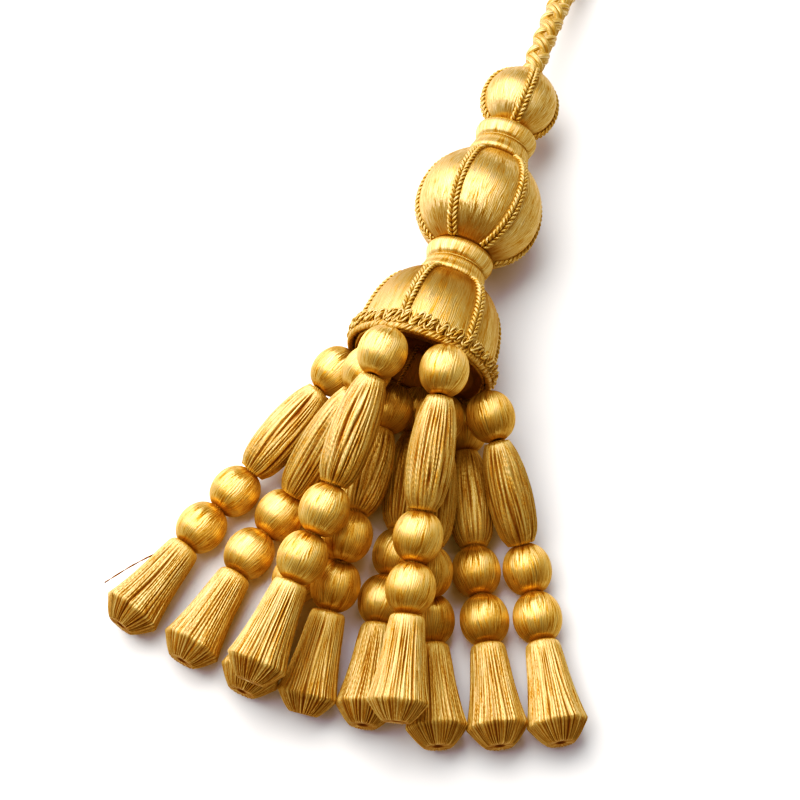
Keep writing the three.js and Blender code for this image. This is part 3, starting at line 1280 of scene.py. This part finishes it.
beadProfiles = {
    "ball": profileObject("ballProfile", ovalRows(ball["endShare"], ball["fullness"])),
    "olive": profileObject("oliveProfile", oliveRows),
    "drop": profileObject("dropProfile", dropRows),
}


def bead(kind, look, start, way, length, seed, cellShift=0.0):
    fitted = {
        "profile": beadProfiles[kind],
        "length": length,
        "seed": seed,
        "cellLow": look["cellLow"] + cellShift,
        "cellHigh": look["cellHigh"] + cellShift,
    }
    mesh = grow(trees.mould, {**plainMould, **look, **fitted})
    mesh.transform(laid(start, way))
    return mesh


def makeStray(neck, dropWay):
    way = Matrix.Rotation(math.radians(strayThread["turn"]), 3, "Z") @ dropWay
    left = way.cross(up).normalized()
    start = neck + dropWay * strayThread["start"] + left * strayThread["aside"] + up * strayThread["lift"]
    reach = way * strayThread["length"]
    path = [start, start + reach * 0.5 + up * strayThread["rise"], start + reach + up * strayThread["tip"]]
    return grow(trees.thread, strayThread, pathMesh([path]))


def makeString(number):
    label = f"string_{number:02d}"
    ballNodes = [f"{label}_{name}_ball" for name in ("top", "mid", "low")]
    top, mid, low = (middleOf(node) for node in ballNodes)
    oliveWay = (mid - top).normalized()
    ballWay = (low - mid).normalized()
    dropWay = (middleOf(label + "_drop") - low).normalized()
    topWay = Vector((oliveWay.x, oliveWay.y, oliveWay.z * ball["topTilt"])).normalized()
    half = ball["length"] / 2
    ways = (topWay, (oliveWay + ballWay).normalized(), (ballWay + dropWay).normalized())
    balls = []
    for place, (centre, way) in enumerate(zip((top, mid, low), ways)):
        seed = number * ball["seedStep"] + place
        cellShift = place * ball["cellStep"]
        balls.append(bead("ball", ball, centre - way * half, way, ball["length"], seed, cellShift))
    oliveLow, oliveHigh = spanOf(label + "_olive", top, oliveWay)
    dropLow, dropHigh = spanOf(label + "_drop", low, dropWay)

    # the string shows between the beads, with a thread tied round it there
    out = linkThread["seatSpread"]
    seatX = headAt.x + (top.x - headAt.x) * out
    seatZ = bellMouth.z + (top.z - bellMouth.z) * out
    seat = Vector((seatX, bellMouth.y + linkThread["seatDepth"], seatZ))
    overlap = linkThread["overlap"]
    end = half - overlap
    links = [
        [seat, top - topWay * end],
        [top + oliveWay * end, top + oliveWay * (oliveLow + overlap)],
        [top + oliveWay * (oliveHigh - overlap), mid - oliveWay * end],
        [mid + ballWay * end, low - ballWay * end],
        [low + dropWay * end, low + dropWay * (dropLow + overlap)],
    ]
    balls.append(grow(trees.thread, linkThread, pathMesh(links)))
    ring = ringPath(tieThread["radius"], 0.0, tieThread["steps"])
    joints = [((a + b) / 2, (b - a).normalized()) for a, b in links[1:]]
    ties = [[laid(joint, way) @ point for point in ring] for joint, way in joints]
    balls.append(grow(trees.thread, tieThread, pathMesh(ties)))
    finishPiece(label + "_balls", balls, ballNodes)

    oliveStart = top + oliveWay * oliveLow
    dropStart = low + dropWay * dropLow
    oliveSeed = number * olive["seedStep"]
    dropSeed = number * drop["seedStep"]
    covers = [
        bead("olive", olive, oliveStart, oliveWay, oliveHigh - oliveLow, oliveSeed),
        bead("drop", drop, dropStart, dropWay, dropHigh - dropLow, dropSeed),
    ]
    if number == strayThread["string"]:
        covers.append(makeStray(dropStart, dropWay))
    finishPiece(label + "_covers", covers, [label + "_olive", label + "_drop"])


for number in range(1, stringCount + 1):
    makeString(number)
for holder in beadProfiles.values():
    bpy.data.objects.remove(holder)
print("strings made")


# Table, soft studio light
studio = {
    "keyPower": 17.2,
    "keySize": 1.1,
    "keyAt": Vector((-0.47, 0.22, 0.745)),
    "worldDim": 0.15,
    "worldBright": 0.72,
    "worldColour": (1.0, 0.98, 0.96, 1),
    "glowFrom": -0.1,  # cosines to the key light
    "glowTo": 0.9,
    "tableReach": 2.0,
    "tableDrop": 0.1 * mm,
    "tableColour": (0.9, 0.89, 0.88, 1),
    "tableRoughness": 0.9,
    "gamma": 0.9,  # the photograph's contrast
}


def addTable():
    reach = studio["tableReach"]
    corners = [(-reach, -reach, 0), (reach, -reach, 0), (reach, reach, 0), (-reach, reach, 0)]
    mesh = bpy.data.meshes.new("table")
    mesh.from_pydata(corners, [], [(0, 1, 2, 3)])
    table = bpy.data.objects.new("table", mesh)
    table.location.z = -studio["tableDrop"]
    paper = bpy.data.materials.new("paper_white")
    paper.use_nodes = True
    shader = paper.node_tree.nodes["Principled BSDF"]
    feed(shader, "Base Color", studio["tableColour"])
    feed(shader, "Roughness", studio["tableRoughness"])
    mesh.materials.append(paper)
    scene.collection.objects.link(table)


def addKeyLight():
    light = bpy.data.lights.new("key", "AREA")
    light.energy = studio["keyPower"]
    light.size = studio["keySize"]
    lamp = bpy.data.objects.new("key", light)
    lamp.location = studio["keyAt"]
    lamp.rotation_euler = (-studio["keyAt"]).to_track_quat("-Z", "Y").to_euler()
    scene.collection.objects.link(lamp)


def addWorld():
    world = bpy.data.worlds.new("studio")
    scene.world = world
    world.use_nodes = True
    tree = world.node_tree
    way = put(tree, "ShaderNodeTexCoord", output="Generated")
    inputs = {0: way, 1: studio["keyAt"].normalized()}
    facing = put(tree, "ShaderNodeVectorMath", inputs, "Value", operation="DOT_PRODUCT")
    gain = studio["worldBright"] - studio["worldDim"]
    glow = smoothStep(facing, studio["glowFrom"], studio["glowTo"]) * gain + studio["worldDim"]
    feed(tree.nodes["Background"], "Color", studio["worldColour"])
    feed(tree.nodes["Background"], "Strength", glow)


# Warm shadows: less green and blue in the dark tones, as light deep in silk has
curveOrder = ("red", "green", "blue")
shadowCurves = {
    "green": ((0.16, 0.12), (0.26, 0.225), (0.42, 0.415)),
    "blue": ((0.06, 0.014), (0.1, 0.04), (0.16, 0.105), (0.21, 0.185), (0.28, 0.28)),
}


def setView():
    view = scene.view_settings
    view.view_transform = "Standard"
    view.gamma = studio["gamma"]
    view.use_curve_mapping = True
    view.curve_mapping.extend = "EXTRAPOLATED"
    for colour, tones in shadowCurves.items():
        curve = view.curve_mapping.curves[curveOrder.index(colour)]
        for tone, shown in tones:
            curve.points.new(tone, shown).handle_type = "AUTO_CLAMPED"
    view.curve_mapping.update()


addTable()
addKeyLight()
addWorld()
setView()
print("table and lights set")
